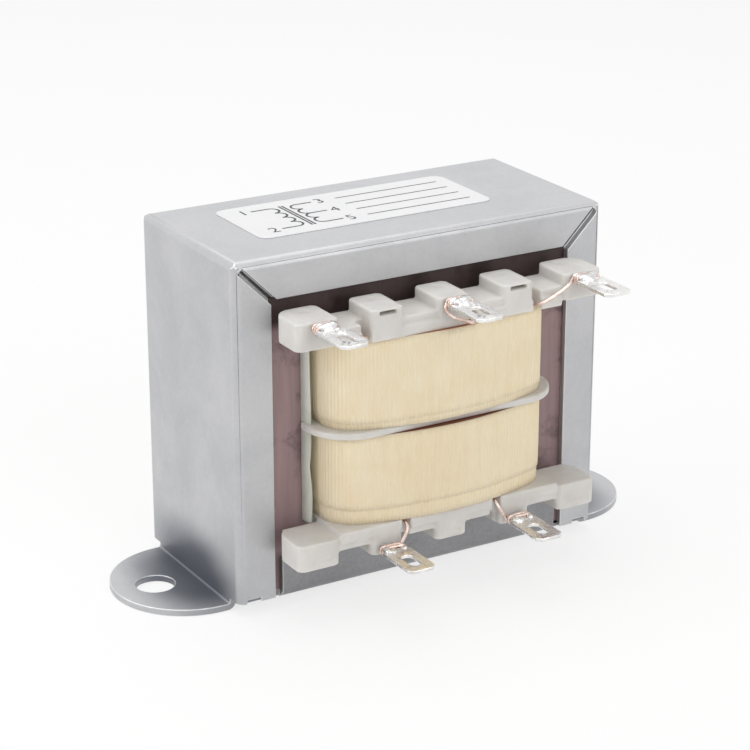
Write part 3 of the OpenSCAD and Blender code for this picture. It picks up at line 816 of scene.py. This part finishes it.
def smooth_path(points, steps=8):
    """Points of a smooth curve that passes through all the given points."""
    ends = [points[0], *points, points[-1]]
    path = []
    for a, b, c, d in zip(ends, ends[1:], ends[2:], ends[3:]):
        for n in range(steps):
            t = n / steps
            path.append(0.5 * (2 * b + (c - a) * t + (2 * a - 5 * b + 4 * c - d) * t * t
                               + (3 * b - a - 3 * c + d) * t ** 3))
    return path + [points[-1]]


def open_curve(name, points):
    curve = bpy.data.curves.new(name, "CURVE")
    curve.dimensions = "3D"
    spline = curve.splines.new("POLY")
    spline.points.add(len(points) - 1)
    for point, place in zip(spline.points, points):
        point.co = (*place, 1)
    piece = bpy.data.objects.new(name, curve)
    bpy.context.scene.collection.objects.link(piece)
    return piece


wire_tree = make_wire_tree()
print("wire tree nodes:", len(wire_tree.nodes))

# %% Leads from the slots to the lugs
WIRE_R = 0.25 * MM
NECK_HALF_W = 1.4 * MM
NECK_HALF_T = 0.25 * MM
RAIL_FRONT_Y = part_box("bobbin")[0].y


def lug_place(lug):
    """Middle of the lug's width, the level of its middle, and +1 for the top rail or -1."""
    low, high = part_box(lug + "_lug")
    level = (low.z + high.z) / 2
    return (low.x + high.x) / 2, level, 1 if level > cad_high.z / 2 else -1


def wound_path(lug, route, side, turns, pitch):
    """Route to the lug, given as (x from its middle, y from the rail, height outwards) in mm,
    and then turns round its neck that start at the side with this sign."""
    x, z, out = lug_place(lug)
    places = [Vector((x + a * MM, RAIL_FRONT_Y - b * MM, z + out * c * MM)) for a, b, c in route]
    steps = 14
    first_y = RAIL_FRONT_Y - 0.5 * MM
    for n in range(round(turns * steps) + 1):
        angle = math.tau * n / steps
        wide = math.copysign(abs(math.cos(angle)) ** 0.55, math.cos(angle))
        high = math.copysign(abs(math.sin(angle)) ** 0.55, math.sin(angle))
        places.append(Vector((x + side * (NECK_HALF_W + WIRE_R) * wide,
                              first_y - pitch * n / steps,
                              z + out * (NECK_HALF_T + WIRE_R) * high)))
    return smooth_path(places, 3)


LEADS = {
    "secondary_start": ([(7.0, -1.9, -3.4), (6.9, 0.1, -3.0), (5.0, 0.45, -2.2), (2.6, 0.5, -1.0)], 1, 2.6, 0.55 * MM),
    "secondary_tap": ([(3.0, -0.9, -3.9), (2.9, 0.5, -3.6), (1.4, 1.3, -2.9), (-0.8, 1.2, -2.0),
                       (-1.9, 0.8, -0.9)], -1, 2.6, 0.55 * MM),
    "secondary_end": ([(-7.0, -1.9, -3.4), (-6.9, 0.1, -3.0), (-5.0, 0.45, -2.2), (-2.6, 0.5, -1.0)], -1, 2.6, 0.55 * MM),
    "primary_start": ([(3.0, -0.9, -3.0), (3.0, 0.2, -2.2), (2.3, 0.5, -1.0)], 1, 2.6, 0.62 * MM),
    "primary_end": ([(-3.0, -0.9, -3.0), (-3.0, 0.2, -2.2), (-2.3, 0.5, -1.0)], -1, 2.6, 0.62 * MM),
}
for lug, (route, side, turns, pitch) in LEADS.items():
    piece = open_curve(lug + "_wire", wound_path(lug, route, side, turns, pitch))
    piece = run_tree(piece, wire_tree, Radius=WIRE_R, Sides=12, Material=tinned_wire)
    piece.data.shade_smooth()
    finish_piece(piece, "tinned_wire", lug + "_lead")

# %% [markdown]
# ## Solder
# Solder wets the wire and the neck, and freezes in smooth lumps. Each joint is a few squashed
# balls that are fused by rebuilding them from one set of cells, then made uneven with noise.

# %% Solder on the necks
SOLDER_CELL = 0.09 * MM
TOP_LUMPS = [(-0.3, 1.9, 0.45, 1.35, 0.75, 0.42), (0.7, 1.5, 0.5, 0.9, 0.8, 0.45),
             (-0.9, 1.2, 0.42, 0.8, 0.5, 0.42), (0.2, 2.6, 0.28, 1.2, 0.7, 0.2)]
BOTTOM_LUMPS = [(-1.3, 2.0, -0.35, 0.6, 0.9, 0.45), (-0.7, 2.5, -0.3, 0.7, 0.6, 0.35),
                (1.3, 2.1, -0.3, 0.5, 0.6, 0.35), (0.1, 2.2, 0.1, 1.6, 0.7, 0.42)]


def solder_joint(lug, lumps, seed):
    x, z, out = lug_place(lug)
    skin = bmesh.new()
    for a, b, c, wide, deep, high in lumps:
        place = Matrix.Translation((x + a * MM, RAIL_FRONT_Y - b * MM, z + out * c * MM))
        bmesh.ops.create_icosphere(skin, subdivisions=3, radius=1.0,
                                   matrix=place @ Matrix.Diagonal((wide * MM, deep * MM, high * MM, 1)))
    mesh = bpy.data.meshes.new(lug + "_solder")
    skin.to_mesh(mesh)
    skin.free()
    piece = mesh_object(lug + "_solder", mesh, solder)
    fuse = piece.modifiers.new("fuse", "REMESH")
    fuse.mode = "VOXEL"
    fuse.voxel_size = SOLDER_CELL
    soften = piece.modifiers.new("soften", "SMOOTH")
    soften.iterations = 3
    bake_modifiers(piece)
    for vert in piece.data.vertices:
        grain = noise.noise(vert.co / (0.8 * MM) + Vector((seed, 0, 0)))
        vert.co += vert.normal * grain * 0.12 * MM
    piece.data.shade_smooth()
    return finish_piece(piece, "tinned_wire")


for number, lug in enumerate(LUGS):
    solder_joint(lug, TOP_LUMPS if lug.startswith("secondary") else BOTTOM_LUMPS, 10.0 * number)

# %% [markdown]
# ## Label
# The label is a plain white sticker. Its print is generic: the circuit symbol of a transformer
# with a tapped winding, plain numbers at its ends, and ruled lines that are left blank. Ink has
# hardly any thickness, so the print is flat ribbons a hundredth of a millimetre above the paper.

# %% Label and its print
label = rounded_copy("label", "plain_label", label_paper, 0.04 * MM)
finish_piece(label, "label_paper", "label")

label_low, label_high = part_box("label")
LABEL_MIDDLE = (label_low + label_high) / 2
INK_LIFT = 0.01 * MM


def print_ribbon(skin, points, width):
    """Flat ribbon of ink along points given in mm from the label's middle."""
    places = [Vector((x * MM, y * MM, 0)) for x, y in points]
    rails = []
    for n, place in enumerate(places):
        along = (places[min(n + 1, len(places) - 1)] - places[max(n - 1, 0)]).normalized()
        across = Vector((-along.y, along.x, 0)) * width / 2 * MM
        rails.append([skin.verts.new(place + shift + Vector((LABEL_MIDDLE.x, LABEL_MIDDLE.y,
                                                              label_high.z + INK_LIFT)))
                      for shift in (across, -across)])
    for (a, b), (c, d) in zip(rails, rails[1:]):
        skin.faces.new((a, b, d, c))


def coil_symbol(x, y_low, loops, radius, side):
    """Row of half circles, one above the other, as circuit diagrams draw a winding."""
    points = []
    for n in range(loops):
        centre = y_low + (2 * n + 1) * radius
        points += [(x + side * radius * math.sin(a), centre - radius * math.cos(a))
                   for a in (math.pi * k / 12 for k in range(13))]
    return points


def print_number(text, x, y, size):
    """A plain number as a flat mesh, in mm from the label's middle."""
    curve = bpy.data.curves.new("number_" + text, "FONT")
    curve.body = text
    curve.size = size * MM
    holder = bpy.data.objects.new("number_" + text, curve)
    bpy.context.scene.collection.objects.link(holder)
    depsgraph = bpy.context.evaluated_depsgraph_get()
    mesh = bpy.data.meshes.new_from_object(holder.evaluated_get(depsgraph))
    bpy.data.objects.remove(holder)
    mesh.transform(Matrix.Translation((LABEL_MIDDLE.x + x * MM, LABEL_MIDDLE.y + y * MM,
                                       label_high.z + INK_LIFT)))
    return mesh


def make_label_print():
    skin = bmesh.new()
    for x, side, loops, radius in ((-11.4, 1, 4, 1.15), (-7.0, -1, 4, 1.15)):
        print_ribbon(skin, coil_symbol(x, -4.6, loops, radius, side), 0.34)
    for x in (-9.45, -8.95):
        print_ribbon(skin, [(x, -5.0), (x, 5.0)], 0.3)
    for x, reach, ys in ((-11.4, -2.6, (-4.6, 4.6)), (-7.0, 2.6, (-4.6, 0.0, 4.6))):
        for y in ys:
            print_ribbon(skin, [(x, y), (x + reach, y)], 0.34)
    for y in (4.6, 1.55, -1.5, -4.6):
        print_ribbon(skin, [(-0.5, y), (16.4, y)], 0.26)
    for text, x, y in (("1", -16.0, 3.6), ("2", -16.0, -5.6), ("3", -3.9, 3.6), ("4", -3.9, -1.0), ("5", -3.9, -5.6)):
        mesh = print_number(text, x, y, 2.9)
        skin.from_mesh(mesh)
        bpy.data.meshes.remove(mesh)
    for face in skin.faces:
        if face.normal.z < 0:
            face.normal_flip()
    mesh = bpy.data.meshes.new("label_print")
    skin.to_mesh(mesh)
    skin.free()
    return mesh_object("label_print", mesh, ink)


finish_piece(make_label_print(), "label_paper")

# %% [markdown]
# ## Floor, light and camera
# A pale floor that is mostly its own white keeps a soft shadow under the object. The lamps are
# large and near, so their light is soft, and together with the world they add up to about one:
# a colour then renders about as it is written.

# %% Stage
def make_floor_material():
    material = bpy.data.materials.new("pale_floor")
    material.use_nodes = True
    tree = material.node_tree
    shader = tree.nodes["Principled BSDF"]
    shader.inputs["Base Color"].default_value = (1, 1, 1, 1)
    shader.inputs["Roughness"].default_value = 0.9
    shader.inputs["Specular IOR Level"].default_value = 0.0
    glow = add_node(tree, "ShaderNodeEmission", Strength=1.0)
    path = tree.nodes.new("ShaderNodeLightPath")
    seen = math_node(tree, "MAXIMUM", path.outputs["Is Camera Ray"], path.outputs["Is Glossy Ray"])
    share = math_node(tree, "MULTIPLY", seen, 0.75)
    mix = tree.nodes.new("ShaderNodeMixShader")
    tree.links.new(share, mix.inputs[0])
    tree.links.new(shader.outputs[0], mix.inputs[1])
    tree.links.new(glow.outputs[0], mix.inputs[2])
    tree.links.new(mix.outputs[0], tree.nodes["Material Output"].inputs[0])
    return material


floor_mesh = bpy.data.meshes.new("floor")
half = 3.0
floor_mesh.from_pydata([(-half, -half, 0), (half, -half, 0), (half, half, 0), (-half, half, 0)], [], [(0, 1, 2, 3)])
floor = mesh_object("floor", floor_mesh, make_floor_material())
floor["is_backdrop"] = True

world = bpy.data.worlds.new("studio")
bpy.context.scene.world = world
world.use_nodes = True
sky = world.node_tree
background = sky.nodes["Background"]
background.inputs["Color"].default_value = (1, 1, 1, 1)
rays = sky.nodes.new("ShaderNodeLightPath")
seen = math_node(sky, "MAXIMUM", rays.outputs["Is Camera Ray"], rays.outputs["Is Glossy Ray"])
seen = math_node(sky, "MAXIMUM", seen, rays.outputs["Is Transmission Ray"])
strength = add_node(sky, "ShaderNodeMapRange", Value=seen, To_Min=0.42, To_Max=1.0)
sky.links.new(strength.outputs[0], background.inputs["Strength"])


def soft_lamp(name, place, target, size, power):
    lamp = bpy.data.lights.new(name, "AREA")
    lamp.shape = "SQUARE"
    lamp.size = size
    lamp.energy = power
    holder = bpy.data.objects.new(name, lamp)
    bpy.context.scene.collection.objects.link(holder)
    holder.location = place
    holder.rotation_euler = (Vector(target) - Vector(place)).to_track_quat("-Z", "Y").to_euler()
    return holder


middle = (cad_low + cad_high) / 2
soft_lamp("top_light", (0.0, 0.15, 0.62), middle, 0.5, 1.7)
soft_lamp("left_light", (-0.56, 0.10, 0.26), middle, 0.45, 1.15)
soft_lamp("front_light", (0.10, -0.62, 0.35), middle, 0.5, 1.35)
print("lamps:", len(bpy.data.lights))

# %% Camera
CAMERA_AZIMUTH = -30.53
CAMERA_ELEVATION = 20.445
CAMERA_DISTANCE = 334.55 * MM
CAMERA_TARGET = Vector((-7.907, -13.9, 31.62)) * MM
SENSOR = 36.0
LENS = 116.77


def look_from(azimuth, elevation, distance, target):
    a, e = math.radians(azimuth), math.radians(elevation)
    back = Vector((math.sin(a) * math.cos(e), -math.cos(a) * math.cos(e), math.sin(e)))
    return target + back * distance, back.to_track_quat("Z", "Y").to_euler()


camera_data = bpy.data.cameras.new("camera")
camera_data.sensor_width = SENSOR
camera_data.lens = LENS
camera_data.clip_start = 0.01
camera = bpy.data.objects.new("camera", camera_data)
bpy.context.scene.collection.objects.link(camera)
camera.location, camera.rotation_euler = look_from(
    CAMERA_AZIMUTH, CAMERA_ELEVATION, CAMERA_DISTANCE, CAMERA_TARGET)
bpy.context.scene.camera = camera
bpy.context.scene.view_settings.view_transform = "Standard"
print("camera at", [round(v, 4) for v in camera.location])

# %% Sizes and finish
low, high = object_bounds()
